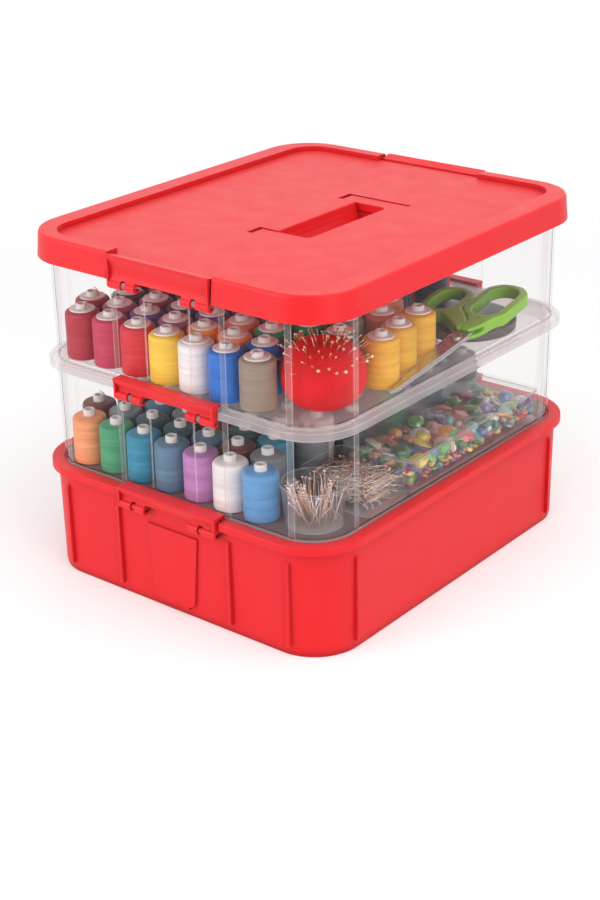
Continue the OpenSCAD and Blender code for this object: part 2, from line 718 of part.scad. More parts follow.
// Ball-headed pins stuck in the top of the cushion along a spiral
pin_count = 34;
pin_len = 14;
pin_bury = 4;
pin_shaft_r = 0.5;
pin_head_r = 1.5;
// The pins point at this height, and the cushion's skin lies this far from there
pin_hub = cushion_h * 0.5 - 2;
function pin_root(lean) = cushion_h - dimple - pin_hub + lean * 0.19;

module pincushion_pins() {
    color([0.85, 0.62, 0.30]) translate([cushion_at[0], cushion_at[1], upper_floor])
        for (i = [0:pin_count - 1]) {
            a = i * 137.5;
            lean = 8 + 38 * sqrt((i + 0.5) / pin_count);
            z0 = pin_root(lean) - pin_bury;
            translate([0, 0, pin_hub]) rotate([0, lean, a]) {
                translate([0, 0, z0]) cylinder(r = pin_shaft_r, h = pin_len, $fn = 16);
                translate([0, 0, z0 + pin_len]) sphere(r = pin_head_r, $fn = 16);
            }
        }
}

// Scissors, closed, lying on the tin with their points on the tray floor.
// They are drawn from their pivot, with the points towards -Y.

scissor_turn = 6.4;
scissor_at = [inner_x - 12.1, 170.7 - inner_y];
grips_below = 3;
grips_y = 10;
tip_gap = 0.15;
tin_touch_y = 18;
scissor_tilt = asin((tin_h + tip_gap + grips_below) / (blade_len + tin_touch_y));
blade_w = 13;
tang_len = 24;
heel = 18;

module scissors_placed() {
    translate([scissor_at[0], scissor_at[1], upper_floor + tip_gap])
        rotate([0, 0, scissor_turn]) translate([0, -blade_len, 0])
            rotate([scissor_tilt, 0, 0]) translate([0, blade_len, 0]) children();
}

module blade_outline() {
    half = blade_w / 2;
    belly = -0.62 * blade_len;
    polygon([[-0.25 * half, -blade_len], [0.25 * half, 6 - blade_len], [0.58 * half, belly],
             [0.95 * half, -heel], [0.98 * half, heel / 3], [0.7 * half, tang_len],
             [-0.85 * half, tang_len], [-half, heel / 3], [-0.83 * half, -heel], [-0.5 * half, belly],
             [-0.34 * half, 8 - blade_len]]);
}

module scissor_blade_under() {
    color(steel) scissors_placed() linear_extrude(blade_t) difference() {
        blade_outline();
        circle(r = 2.6, $fn = small_fn);
    }
}

module scissor_blade_over() {
    color(steel) scissors_placed() translate([0, 0, blade_t + 0.05]) linear_extrude(blade_t) difference() {
        mirror([1, 0]) blade_outline();
        circle(r = 2.6, $fn = small_fn);
    }
}

module scissor_screw() {
    color(steel) scissors_placed() {
        translate([0, 0, 0.1]) cylinder(r = 2.5, h = 2 * blade_t + 0.1, $fn = small_fn);
        translate([0, 0, 2 * blade_t + 0.1]) cylinder(r = 4, h = 1, $fn = small_fn);
    }
}

// A finger loop: two half rounds of radius r, their centres 2 * half apart
module loop(r, half) {
    for (y = [-half, half]) translate([0, y]) circle(r = r, $fn = 64);
    square([2 * r, 2 * half], center = true);
}

loop_w = 5.5;
right_loop = [0, 61.5];
right_loop_r = 16.6;
right_loop_half = 14.5;
left_loop = [-33.4, 51];
left_loop_r = 15.6;
left_loop_half = 8;

module grip(at, r, half, arm) {
    color(grip_green) scissors_placed() translate([0, 0, -grips_below]) difference() {
        linear_extrude(grips_t) difference() {
            union() {
                translate(at) loop(r, half);
                polygon(arm);
            }
            translate(at) loop(r - loop_w, half);
        }
        translate([-10, tang_len - 64, grips_below - 0.05]) cube([20, 64.1, 2 * blade_t + 0.15]);
    }
}

module scissor_grip_right() {
    grip(right_loop, right_loop_r, right_loop_half,
         [[-1.2, grips_y], [5, grips_y], [9, 18], [14, 44], [12, 50], [-12, 50], [-13, 44], [-3, 24]]);
}

module scissor_grip_left() {
    grip(left_loop, left_loop_r, left_loop_half,
         [[-5, grips_y], [-1.8, grips_y], [-3.8, 24], [-17.6, 42], [-19, 52], [-26, 38], [-46, 40],
          [-42, 34], [-22, 26]]);
}

tin_at = [inner_x - tin_r - 0.6, 220.7 - inner_y];

module button_tin() {
    lid_line = tin_h * 0.62;
    color([0.34, 0.30, 0.30]) translate([tin_at[0], tin_at[1], upper_floor])
        rotate_extrude($fn = round_fn)
            polygon([[0, 0], [tin_r - 1, 0], [tin_r - 0.5, 0.6], [tin_r - 0.5, lid_line], [tin_r, lid_line],
                     [tin_r, tin_h - 0.8], [tin_r - 0.8, tin_h], [0, tin_h]]);
}

// Pin cup and boxes in the lower tray

cup_at = [inner_x - 27.2, 27.2 - inner_y];
cup_base_r = cup_r - 3.8;

module pin_cup() {
    color(clear) translate([cup_at[0], cup_at[1], lower_floor]) rotate_extrude($fn = round_fn)
        polygon([[0, 0], [cup_base_r, 0], [cup_r - 0.6, cup_h - 2], [cup_r, cup_h - 2], [cup_r, cup_h],
                 [cup_r - box_wall - 0.6, cup_h], [cup_base_r - box_wall, box_wall], [0, box_wall]]);
}

// Pins leaning on the cup's rim, each a little round from the one before
cup_pin_count = 20;

module cup_pins() {
    from_r = cup_base_r - box_wall - 6;
    to_r = cup_r - box_wall - 3.2;
    swing = 38;
    color([0.80, 0.55, 0.45]) translate([cup_at[0], cup_at[1], lower_floor + box_wall + 0.6])
        for (i = [0:cup_pin_count - 1]) {
            a = 360 * i / cup_pin_count;
            run = [to_r * cos(swing) - from_r, to_r * sin(swing), cup_h - 4 + 3 * (i % 3)];
            rotate([0, 0, a]) translate([from_r, 0, 0])
                rotate([0, acos(run[2] / norm(run)), atan2(run[1], run[0])]) {
                    cylinder(r = 0.5, h = norm(run), $fn = 16);
                    translate([0, 0, norm(run)]) sphere(r = 1.4, $fn = 16);
                }
        }
}

box_x1 = inner_x - 0.6;
box_x0 = box_x1 - 60.3;
pin_box_y0 = cup_at[1] + cup_r + 1.2;
pin_box_y1 = pin_box_y0 + 47.4;
bead_box_y0 = pin_box_y1 + 1.2;
bead_box_y1 = inner_y - inside_r - 0.5;
box_corner_r = 5;

module open_box(y0, y1, h) {
    color(clear) translate([(box_x0 + box_x1) / 2, (y0 + y1) / 2, lower_floor]) difference() {
        linear_extrude(h) rounded((box_x1 - box_x0) / 2, (y1 - y0) / 2, box_corner_r);
        translate([0, 0, box_wall]) linear_extrude(h)
            rounded((box_x1 - box_x0) / 2 - box_wall, (y1 - y0) / 2 - box_wall, box_corner_r - box_wall);
    }
}

module pin_box() { open_box(pin_box_y0, pin_box_y1, box_h - 2); }
module bead_box() { open_box(bead_box_y0, bead_box_y1, box_h - 2); }

module bead_box_lid() {
    color(clear) translate([(box_x0 + box_x1) / 2, (bead_box_y0 + bead_box_y1) / 2, lower_floor + box_h - 2]) {
        linear_extrude(2 - nothing) difference() {
            rounded((box_x1 - box_x0) / 2, (bead_box_y1 - bead_box_y0) / 2, box_corner_r);
            translate([0, -(bead_box_y1 - bead_box_y0) / 2]) circle(r = 5, $fn = small_fn);
        }
        translate([0, 0, -1.5]) linear_extrude(1.6) difference() {
            rounded((box_x1 - box_x0) / 2 - box_wall - 0.3, (bead_box_y1 - bead_box_y0) / 2 - box_wall - 0.3,
                    box_corner_r - box_wall - 0.3);
            rounded((box_x1 - box_x0) / 2 - 2 * box_wall - 0.3,
                    (bead_box_y1 - bead_box_y0) / 2 - 2 * box_wall - 0.3, box_corner_r - 2 * box_wall - 0.3);
            translate([0, -(bead_box_y1 - bead_box_y0) / 2]) circle(r = 8, $fn = small_fn);
        }
    }
}

// Loose pins in the pin box, in crossed layers that rest on each other
loose_pin_len = 30;
loose_pin_r = 0.6;
loose_pin_pitch = 6.5;

module box_pins() {
    layers = 9;
    per_layer = 5;
    lift = 2 * loose_pin_r;
    color([0.80, 0.62, 0.52]) translate([(box_x0 + box_x1) / 2, (pin_box_y0 + pin_box_y1) / 2,
                                         lower_floor + box_wall + loose_pin_r])
        for (j = [0:layers - 1], i = [0:per_layer - 1])
            translate([0, 0, j * lift]) rotate([0, 0, j * 67])
                translate([(i - (per_layer - 1) / 2) * loose_pin_pitch, 3 * sin(j * 90 + i * 40), 0])
                    rotate([90, 0, 0])
                        cylinder(r = loose_pin_r - nothing, h = loose_pin_len, center = true, $fn = 16);
}

// Beads in a layer on the floor of the bead box, with flat buttons lying on them
bead_pitch = 2 * bead_r + 0.3;
bead_cols = floor((box_x1 - box_x0 - 2 * box_wall) / bead_pitch);
bead_rows = floor((bead_box_y1 - bead_box_y0 - 2 * box_wall) / bead_pitch);
button_r = 7;
button_t = 2.6;

module beads(rgb, pick) {
    x0 = (box_x0 + box_x1) / 2 - (bead_cols - 1) * bead_pitch / 2;
    y0 = (bead_box_y0 + bead_box_y1) / 2 - (bead_rows - 1) * bead_pitch / 2;
    color(rgb) translate([x0, y0, lower_floor + box_wall + nothing]) {
        for (i = [0:bead_cols - 1], j = [0:bead_rows - 1])
            if ((i + 2 * j + floor(j / 3)) % 3 == pick)
                translate([i * bead_pitch, j * bead_pitch, bead_r]) sphere(r = bead_r, $fn = 32);
        for (i = [0:bead_cols - 2], j = [0:bead_rows - 2])
            if ((i + j) % 2 == 0 && (2 * i + j) % 3 == pick)
                translate([(i + 0.5) * bead_pitch, (j + 0.5) * bead_pitch, 2 * bead_r + nothing])
                    button();
    }
}

module button() {
    difference() {
        cylinder(r = button_r, h = button_t, $fn = small_fn);
        for (a = [45:90:315]) rotate([0, 0, a]) translate([1.8, 0, -1]) cylinder(r = 0.8, h = 5, $fn = 16);
    }
}

base_tray();
lower_tray();
upper_tray();
lid();
handle();
base_latch_front();
base_latch_back();
lower_latch_front();
lower_latch_back();
upper_latch_front();
upper_latch_back();
upper_thread("dark_red");  // upper_thread_dark_red
upper_thread("crimson");  // upper_thread_crimson
upper_thread("red");  // upper_thread_red
upper_thread("yellow");  // upper_thread_yellow
upper_thread("white");  // upper_thread_white
upper_thread("blue");  // upper_thread_blue
upper_thread("taupe");  // upper_thread_taupe
upper_thread("magenta");  // upper_thread_magenta
upper_thread("violet");  // upper_thread_violet
upper_thread("mauve");  // upper_thread_mauve
upper_thread("orange");  // upper_thread_orange
upper_thread("peach");  // upper_thread_peach
upper_thread("plum");  // upper_thread_plum
upper_thread("green");  // upper_thread_green
upper_thread("teal");  // upper_thread_teal
upper_thread("salmon");  // upper_thread_salmon
upper_thread("navy");  // upper_thread_navy
upper_thread_amber();
upper_spool_cores();
lower_thread("peach");  // lower_thread_peach
lower_thread("green");  // lower_thread_green
lower_thread("teal_blue");  // lower_thread_teal_blue
lower_thread("slate");  // lower_thread_slate
lower_thread("lavender");  // lower_thread_lavender
lower_thread("white");  // lower_thread_white
lower_thread("light_blue");  // lower_thread_light_blue
lower_thread("brown_red");  // lower_thread_brown_red
lower_thread("dark_teal");  // lower_thread_dark_teal
lower_thread("grey");  // lower_thread_grey
lower_spool_cores();
pincushion();
pincushion_pins();
scissor_blade_under();
scissor_blade_over();
scissor_grip_right();
scissor_grip_left();
scissor_screw();
button_tin();
pin_cup();
cup_pins();
pin_box();
box_pins();
bead_box();
bead_box_lid();
beads([0.80, 0.15, 0.20], 0);  // beads_red
beads([0.15, 0.62, 0.35], 1);  // beads_green
beads([0.95, 0.75, 0.20], 2);  // beads_yellow
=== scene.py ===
"""Looks of the thread spool storage box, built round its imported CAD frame. Lengths are in metres."""

import json
import math
import random

import bmesh
import bpy
from mathutils import Matrix, Vector


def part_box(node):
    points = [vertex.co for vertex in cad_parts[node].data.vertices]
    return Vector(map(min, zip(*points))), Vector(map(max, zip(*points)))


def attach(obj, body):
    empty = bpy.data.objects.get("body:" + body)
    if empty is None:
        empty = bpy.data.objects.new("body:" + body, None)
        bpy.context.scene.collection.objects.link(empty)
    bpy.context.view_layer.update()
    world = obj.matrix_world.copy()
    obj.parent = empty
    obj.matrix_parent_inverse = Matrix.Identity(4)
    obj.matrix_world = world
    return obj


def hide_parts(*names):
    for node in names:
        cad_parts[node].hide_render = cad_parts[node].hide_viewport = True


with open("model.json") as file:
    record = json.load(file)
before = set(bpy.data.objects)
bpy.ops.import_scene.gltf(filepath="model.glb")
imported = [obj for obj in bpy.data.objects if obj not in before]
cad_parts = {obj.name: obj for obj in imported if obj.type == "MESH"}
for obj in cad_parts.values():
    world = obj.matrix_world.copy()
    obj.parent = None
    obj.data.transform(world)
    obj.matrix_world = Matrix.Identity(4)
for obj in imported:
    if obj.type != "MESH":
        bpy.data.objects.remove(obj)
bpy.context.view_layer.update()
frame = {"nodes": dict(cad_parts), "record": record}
MM = 0.001
record = frame["record"]
nodes = frame["nodes"]
slot_of = {part["node"]: part["material_slot"] for part in record["subparts"]}
slot_colour = {entry["slot"]: entry["base_color"] for entry in record["materials"]}
body_of = {node: body for body, members in record["behaviour"]["bodies"].items() for node in members}


# Camera: the photograph's viewing angle

FOCAL_PX = 1755.5
LONG_SIDE_PX = 900
AXIS_RISE_PX = 50
SENSOR_MM = 36
AZIMUTH = math.radians(39.02)
ELEVATION = math.radians(22.40)
ROLL = math.radians(-1.11)
CAMERA_AT = Vector((0.7524, -0.9421, 0.6057))


def add_camera():
    ahead = Vector((-math.sin(AZIMUTH) * math.cos(ELEVATION),
                    math.cos(AZIMUTH) * math.cos(ELEVATION), -math.sin(ELEVATION)))
    level_right = Vector((math.cos(AZIMUTH), math.sin(AZIMUTH), 0))
    level_up = level_right.cross(ahead)
    right = math.cos(ROLL) * level_right + math.sin(ROLL) * level_up
    up = math.cos(ROLL) * level_up - math.sin(ROLL) * level_right
    data = bpy.data.cameras.new("camera")
    data.sensor_fit = "AUTO"
    data.sensor_width = SENSOR_MM
    data.lens = FOCAL_PX / LONG_SIDE_PX * SENSOR_MM
    data.shift_y = -AXIS_RISE_PX / LONG_SIDE_PX
    data.clip_end = 20
    camera = bpy.data.objects.new("camera", data)
    camera.matrix_world = Matrix.Translation(CAMERA_AT) @ Matrix((right, up, -ahead)).transposed().to_4x4()
    bpy.context.scene.collection.objects.link(camera)
    bpy.context.scene.camera = camera


# Material helpers

def linear(rgb):
    return [c / 12.92 if c <= 0.04045 else ((c + 0.055) / 1.055) ** 2.4 for c in rgb[:3]] + [1]


def material(name):
    made = bpy.data.materials.new(name)
    made.use_nodes = True
    tree = made.node_tree
    return made, tree, tree.nodes["Principled BSDF"]


def add(tree, kind, inputs=None, **settings):
    """Adds a shader node, with a value or another node's socket on each named input."""
    made = tree.nodes.new("ShaderNode" + kind)
    for key, value in settings.items():
        setattr(made, key, value)
    for key, value in (inputs or {}).items():
        if isinstance(value, bpy.types.NodeSocket):
            tree.links.new(value, made.inputs[key])
        else:
            made.inputs[key].default_value = value
    return made


def ramp(tree, fac, *stops):
    """A colour ramp with (place, grey level or colour) stops."""
    made = add(tree, "ValToRGB", {"Fac": fac})
    elements = made.color_ramp.elements
    while len(elements) < len(stops):
        elements.new(1.0)
    for element, (place, value) in zip(elements, stops):
        element.position = place
        element.color = value if isinstance(value, (list, tuple)) else (value, value, value, 1)
    return made.outputs["Color"]


def mix_colour(tree, fac, a, b, blend="MIX"):
    made = tree.nodes.new("ShaderNodeMix")
    made.data_type = "RGBA"
    made.blend_type = blend
    for index, value in ((0, fac), (6, a), (7, b)):
        if isinstance(value, bpy.types.NodeSocket):
            tree.links.new(value, made.inputs[index])
        else:
            made.inputs[index].default_value = value
    return made.outputs[2]


def math_node(tree, operation, a, b):
    return add(tree, "Math", {0: a, 1: b}, operation=operation).outputs[0]


def object_place(tree):
    return add(tree, "TexCoord").outputs["Object"]


def noise(tree, scale, detail=3, place=None):
    place = place or object_place(tree)
    return add(tree, "TexNoise", {"Vector": place, "Scale": scale, "Detail": detail}).outputs["Fac"]


def bump(tree, height, distance, strength=1.0, base=None):
    inputs = {"Height": height, "Distance": distance, "Strength": strength}
    if base:
        inputs["Normal"] = base
    return add(tree, "Bump", inputs).outputs["Normal"]


# Materials

def moulded(name, colour, roughness, round_edge=0.4 * MM, grain=900, grain_depth=0.02 * MM, mottle=0.06,
            specular=0.5, painted_shade=None):
    """Moulded plastic: fine texture, faint flow marks, softened edges and, when a deep colour is given, painted shade
    in its grooves.
    """
    made, tree, skin = material(name)
    dark = [c * (1 - mottle) for c in colour[:3]] + [1]
    flow = ramp(tree, noise(tree, 22, 5), (0.35, 0.0), (0.7, 1.0))
    base = mix_colour(tree, flow, dark, colour)
    # Painted shade: ambient occlusion darkens the base colour towards the given deep colour in grooves, channels and
    # hollows.
    if painted_shade:
        ambient_occlusion = add(tree, "AmbientOcclusion", {"Distance": 9 * MM}, samples=6).outputs["AO"]
        base = mix_colour(tree, ramp(tree, ambient_occlusion, (0.25, 0.0), (0.9, 1.0)), painted_shade, base)
        skin.inputs["Sheen Weight"].default_value = 0.12
        skin.inputs["Sheen Roughness"].default_value = 0.5
    tree.links.new(base, skin.inputs["Base Color"])
    fine = noise(tree, grain, 2)
    worn = ramp(tree, noise(tree, 60, 4), (0.3, roughness - 0.05), (0.75, roughness + 0.06))
    tree.links.new(worn, skin.inputs["Roughness"])
    skin.inputs["Specular IOR Level"].default_value = specular
    edge = add(tree, "Bevel", {"Radius": round_edge}, samples=4).outputs["Normal"]
    tree.links.new(bump(tree, fine, grain_depth, 1.0, edge), skin.inputs["Normal"])
    return made


def clear_plastic(name, haze, tint, gloss=1.0, haze_colour=0.9, painted_edge_highlight=0.3, edge=0.5 * MM, painted_plate_highlight=0,
                  both_sides=False):
    """Clear plastic: see-through and glossy at a glance, with some milky haze, plus painted highlights: the haze turns
    whiter along its edges and, on a tray's wall, where the floor plate meets it, standing in for the bright lines light
    makes there."""
    made, tree, skin = material(name)
    tree.nodes.remove(skin)
    geometry = add(tree, "NewGeometry").outputs
    front = math_node(tree, "SUBTRACT", 1.0, 0.0 if both_sides else geometry["Backfacing"])
    soft = add(tree, "Bevel", {"Radius": edge}, samples=6).outputs["Normal"]
    turn = add(tree, "VectorMath", {0: soft, 1: geometry["Normal"]}, operation="DOT_PRODUCT").outputs["Value"]
    # Painted highlight: the milky haze is raised where the bevelled normal turns away, so edges show bright lines.
    edge_highlight = add(tree, "MapRange", {"Value": turn, "From Min": 0.985, "From Max": 0.85, "To Min": 0.0,
                                     "To Max": painted_edge_highlight}).outputs[0]
    normal = bump(tree, noise(tree, 120, 2), 0.02 * MM, 0.25, soft)
    cloud = add(tree, "MapRange", {"Value": noise(tree, 16, 3), "From Min": 0.3, "From Max": 0.7,
                                   "To Min": haze * 0.8, "To Max": haze * 1.15}).outputs[0]
    pale = [haze_colour, haze_colour * 0.955, haze_colour * 0.96, 1]
    milky = add(tree, "MixShader", {0: 0.5, 1: add(tree, "BsdfDiffuse", {"Color": pale}).outputs[0],
                                    2: add(tree, "BsdfTranslucent", {"Color": pale}).outputs[0]}).outputs[0]
    # Painted highlight: a band of milky haze on the wall just above each floor plate, for the bright line at the join.
    if painted_plate_highlight:
        height = add(tree, "SeparateXYZ", {0: object_place(tree)}).outputs["Z"]
        level = math_node(tree, "FRACT", math_node(tree, "DIVIDE", math_node(tree, "SUBTRACT", height, PLATE_Z),
                                                   TRAY_PITCH), 0.0)
        plate = ramp(tree, level, (0.0, 1.0), (0.03, 1.0), (0.045, 0.0))
        edge_highlight = math_node(tree, "ADD", edge_highlight, math_node(tree, "MULTIPLY", plate, painted_plate_highlight))
    path = add(tree, "LightPath").outputs
    sight = math_node(tree, "MAXIMUM", path["Is Camera Ray"], path["Is Transmission Ray"])
    through = add(tree, "MixShader", {
        0: sight, 1: add(tree, "BsdfTransparent", {"Color": tint}).outputs[0],
        2: add(tree, "BsdfRefraction", {"Color": tint, "Roughness": 0.0, "IOR": 1.006}).outputs[0]}).outputs[0]
    amount = math_node(tree, "MULTIPLY", math_node(tree, "MINIMUM", math_node(tree, "ADD", cloud, edge_highlight), 1.0),
                       front)
    body = add(tree, "MixShader", {0: amount, 1: through, 2: milky}).outputs[0]
    shine = add(tree, "BsdfGlossy", {"Color": [1, 1, 1, 1], "Roughness": 0.06, "Normal": normal}).outputs[0]
    glance = math_node(tree, "SUBTRACT", add(tree, "Fresnel", {"IOR": 1.46, "Normal": normal}).outputs[0], 0.03)
    glance = math_node(tree, "MULTIPLY", math_node(tree, "MULTIPLY", glance, gloss), front)
    surface = add(tree, "MixShader", {0: glance, 1: body, 2: shine}).outputs[0]
    tree.links.new(surface, tree.nodes["Material Output"].inputs["Surface"])
    return made


def thread(name, colour):
    """Wound sewing thread: fine level turns, a crossing lay, a soft sheen, one spool paler than the next."""
    made, tree, skin = material(name)
    place = object_place(tree)
    turns = add(tree, "TexWave", {"Vector": place, "Scale": 330, "Distortion": 1.2, "Detail": 2},
                bands_direction="Z").outputs["Fac"]
    streak = add(tree, "Mapping", {"Vector": place, "Scale": (30, 30, 420)}).outputs[0]
    lay = noise(tree, 1.0, 4, streak)
    spool = add(tree, "NewGeometry").outputs["Random Per Island"]
    deep = [c * 0.9 for c in colour[:3]] + [1]
    pale = [min(1, c * 1.12 + 0.01) for c in colour[:3]] + [1]
    base = mix_colour(tree, ramp(tree, lay, (0.3, 0.0), (0.65, 1.0)), deep, pale)
    shade = add(tree, "MapRange", {"Value": spool, "To Min": 0.88, "To Max": 1.08}).outputs[0]
    base = mix_colour(tree, 1.0, base, add(tree, "CombineColor", {0: shade, 1: shade, 2: shade}).outputs[0],
                      "MULTIPLY")
    tree.links.new(base, skin.inputs["Base Color"])
    tree.links.new(ramp(tree, lay, (0.2, 0.45), (0.8, 0.62)), skin.inputs["Roughness"])
    skin.inputs["Sheen Weight"].default_value = 0.15
    skin.inputs["Sheen Roughness"].default_value = 0.4
    height = math_node(tree, "ADD", lay, math_node(tree, "MULTIPLY", turns, 0.12))
    tree.links.new(bump(tree, height, 0.1 * MM, 0.3), skin.inputs["Normal"])
    return made


def velvet(name, colour):
    """Velvet with a strong nap and scattered sparkles."""
    made, tree, skin = material(name)
    nap = noise(tree, 1400, 3)
    patch = noise(tree, 55, 4)
    deep = [c * 0.8 for c in colour[:3]] + [1]
    tree.links.new(mix_colour(tree, ramp(tree, patch, (0.3, 0.0), (0.7, 1.0)), deep, colour),
                   skin.inputs["Base Color"])
    cells = add(tree, "TexVoronoi", {"Vector": object_place(tree), "Scale": 520})
    pick = ramp(tree, add(tree, "SeparateColor", {0: cells.outputs["Color"]}).outputs[0], (0.82, 0.0), (0.86, 1.0))
    spark = math_node(tree, "MULTIPLY", pick, ramp(tree, cells.outputs["Distance"], (0.18, 1.0), (0.3, 0.0)))
    tree.links.new(spark, skin.inputs["Metallic"])
    tree.links.new(ramp(tree, spark, (0.0, 0.85), (1.0, 0.15)), skin.inputs["Roughness"])
    skin.inputs["Sheen Weight"].default_value = 0.3
    skin.inputs["Sheen Roughness"].default_value = 0.35
    skin.inputs["Sheen Tint"].default_value = linear([1.0, 0.12, 0.15])
    tree.links.new(bump(tree, nap, 0.35 * MM, 0.8), skin.inputs["Normal"])
    return made


def many_coloured(name, colours, roughness, metallic, grain_depth=0.02 * MM, specular=0.5, coat=0.0):
    """Each loose solid of the piece takes one of the colours."""
    made, tree, skin = material(name)
    pick = add(tree, "NewGeometry").outputs["Random Per Island"]
    stops = [(i / len(colours), linear(c)) for i, c in enumerate(colours)]
    chooser = add(tree, "ValToRGB", {"Fac": pick})
    chooser.color_ramp.interpolation = "CONSTANT"
    elements = chooser.color_ramp.elements
    while len(elements) < len(stops):
        elements.new(1.0)
    for element, (at, value) in zip(elements, stops):
        element.position = at
        element.color = value
    veins = ramp(tree, noise(tree, 260, 4), (0.3, 0.82), (0.7, 1.0))
    tree.links.new(mix_colour(tree, 1.0, chooser.outputs["Color"], veins, "MULTIPLY"),
                   skin.inputs["Base Color"])
    tree.links.new(ramp(tree, noise(tree, 500, 3), (0.3, roughness * 0.7), (0.7, roughness * 1.3)),
                   skin.inputs["Roughness"])
    skin.inputs["Metallic"].default_value = metallic
    skin.inputs["Specular IOR Level"].default_value = specular
    skin.inputs["Coat Weight"].default_value = coat
    tree.links.new(bump(tree, noise(tree, 1500, 2), grain_depth, 0.5), skin.inputs["Normal"])
    return made


def brushed(name, colour):
    """Steel ground along its length."""
    made, tree, skin = material(name)
    lines = noise(tree, 1.0, 4, add(tree, "Mapping", {"Vector": object_place(tree),
                                                     "Scale": (2600, 60, 2600)}).outputs[0])
    dark = [c * 0.75 for c in colour[:3]] + [1]
    tree.links.new(mix_colour(tree, lines, dark, colour), skin.inputs["Base Color"])
    tree.links.new(ramp(tree, lines, (0.3, 0.2), (0.7, 0.36)), skin.inputs["Roughness"])
    skin.inputs["Metallic"].default_value = 1
    edge = add(tree, "Bevel", {"Radius": 0.25 * MM}, samples=4).outputs["Normal"]
    tree.links.new(bump(tree, lines, 0.02 * MM, 0.5, edge), skin.inputs["Normal"])
    return made


RED = linear([0.93, 0.085, 0.125])
# The deep red given here is painted shade, laid into the grooves of the red plastic and the channels of the latches.
red_plastic = moulded("red_plastic", RED, 0.42, mottle=0.02, specular=0.32, painted_shade=linear([0.66, 0.0, 0.03]))
spool_plastic = moulded("spool_plastic", linear([0.97, 0.955, 0.94]), 0.4, 0.2 * MM, 600)
grip_plastic = moulded("grip_plastic", linear([0.56, 0.80, 0.18]), 0.3, 0.3 * MM, 500, specular=0.6)
tin_paint = moulded("tin_paint", linear([0.38, 0.33, 0.33]), 0.3, 0.4 * MM, 400, specular=0.7)
scissor_steel = brushed("scissor_steel", linear([0.84, 0.84, 0.85]))
PLATE_Z, TRAY_PITCH = 82.6 * MM, 80 * MM
# In these clear plastics the sixth value sets the strength of the painted edge highlight, and the plate value sets the
# strength of the painted highlight at the plate join.
clear_wall = clear_plastic("clear_wall", 0.008, [0.99, 0.985, 0.985, 1], painted_plate_highlight=0.5)
clear_rim = clear_plastic("clear_rim", 0.34, [0.97, 0.94, 0.945, 1], 1.2, 0.97, 0.6, 0.9 * MM)
clear_rib = clear_plastic("clear_rib", 0.16, [0.98, 0.965, 0.965, 1], 1.2, 1.0, 0.75, 0.6 * MM)
clear_floor = clear_plastic("clear_floor", 0.38, [0.94, 0.92, 0.915, 1], 1.0, 0.82)
clear_ring = clear_plastic("clear_ring", 0.30, [0.96, 0.93, 0.93, 1], 0.0, 0.8, 0.3, 0.5 * MM, both_sides=True)
GOLD, COPPER, PINK = [0.86, 0.66, 0.36], [0.80, 0.50, 0.38], [0.92, 0.68, 0.66]
SILVER, PEARL = [0.86, 0.85, 0.85], [0.96, 0.88, 0.84]
pin_heads = many_coloured("pin_heads", [GOLD, PINK, PEARL, [0.97, 0.85, 0.70], GOLD, [0.95, 0.60, 0.50]], 0.25, 0.45)
loose_pins = many_coloured("loose_pins", [[0.93, 0.92, 0.92], [0.96, 0.84, 0.82], [0.88, 0.66, 0.56], PEARL, SILVER,
                                         [0.90, 0.74, 0.50]], 0.2, 0.4)


# Dressing of the CAD nodes

def dress(node, *materials):
    mesh = nodes[node].data
    mesh.materials.clear()
    for entry in materials:
        mesh.materials.append(entry)


def outside(x, y, half_x, half_y, radius):
    """How far a point lies outside a rounded rectangle about the origin."""
    dx, dy = abs(x) - (half_x - radius), abs(y) - (half_y - radius)
    return math.hypot(max(dx, 0), max(dy, 0)) + min(max(dx, dy), 0) - radius


TRAY_HALF_X, TRAY_HALF_Y, TRAY_CORNER = 127.5 * MM, 151 * MM, 32.5 * MM
FLANGE_DEPTH = 5.6 * MM
FLOOR_RISE = 2.4 * MM
PLUG_DEPTH = 10 * MM


def dress_tray(node):
    """Walls, ribs, rim and floor of a clear tray each get their own clarity."""
    low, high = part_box(node)
    foot = low.z + PLUG_DEPTH
    dress(node, clear_wall, clear_rib, clear_rim, clear_floor, clear_ring)
    mesh = nodes[node].data
    heights = [vert.co.z for vert in mesh.vertices]
    for face in mesh.polygons:
        centre = face.center
        lowest = min(heights[i] for i in face.vertices)
        out = outside(centre.x, centre.y, TRAY_HALF_X, TRAY_HALF_Y, TRAY_CORNER)
        if centre.z < foot - 0.2 * MM and abs(face.normal.z) < 0.5:
            outward = face.normal.x * centre.x + face.normal.y * centre.y > 0
            face.material_index = 0 if outward else 4
        elif lowest > high.z - FLANGE_DEPTH or centre.z < foot - 0.2 * MM or out > 1.2 * MM:
            face.material_index = 2
        elif centre.z < foot + FLOOR_RISE and abs(face.normal.z) > 0.9:
            face.material_index = 3
        elif out > 0.15 * MM:
            face.material_index = 1


for name in nodes:
    if body_of[name] in ("base_tray", "lid", "handle") or "latch" in name:
        dress(name, red_plastic)
for name in ("lower_tray", "upper_tray"):
    dress_tray(name)
for name in ("pin_cup", "pin_box", "bead_box", "bead_box_lid"):
    dress(name, clear_plastic(name + "_plastic", 0.12 if name == "pin_cup" else 0.07, [0.985, 0.98, 0.98, 1], 1.2, 1.0, 0.85, 0.7 * MM))
for name in ("upper_spool_cores", "lower_spool_cores"):
    dress(name, spool_plastic)
for name in ("scissor_blade_under", "scissor_blade_over", "scissor_screw"):
    dress(name, scissor_steel)
dress("button_tin", tin_paint)


# Pieces made here

def piece(name, shape, body, *materials, replaced=(), slot=None):
    """Turns a bmesh into a piece that rides on a body, keeping each face's own smooth or flat shading."""
    mesh = bpy.data.meshes.new(name)
    bmesh.ops.recalc_face_normals(shape, faces=shape.faces)
    shape.to_mesh(mesh)
    shape.free()
    for entry in materials:
        mesh.materials.append(entry)
    made = bpy.data.objects.new(name, mesh)
    bpy.context.scene.collection.objects.link(made)
    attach(made, body)
    if replaced:
        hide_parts(*replaced)
    return made


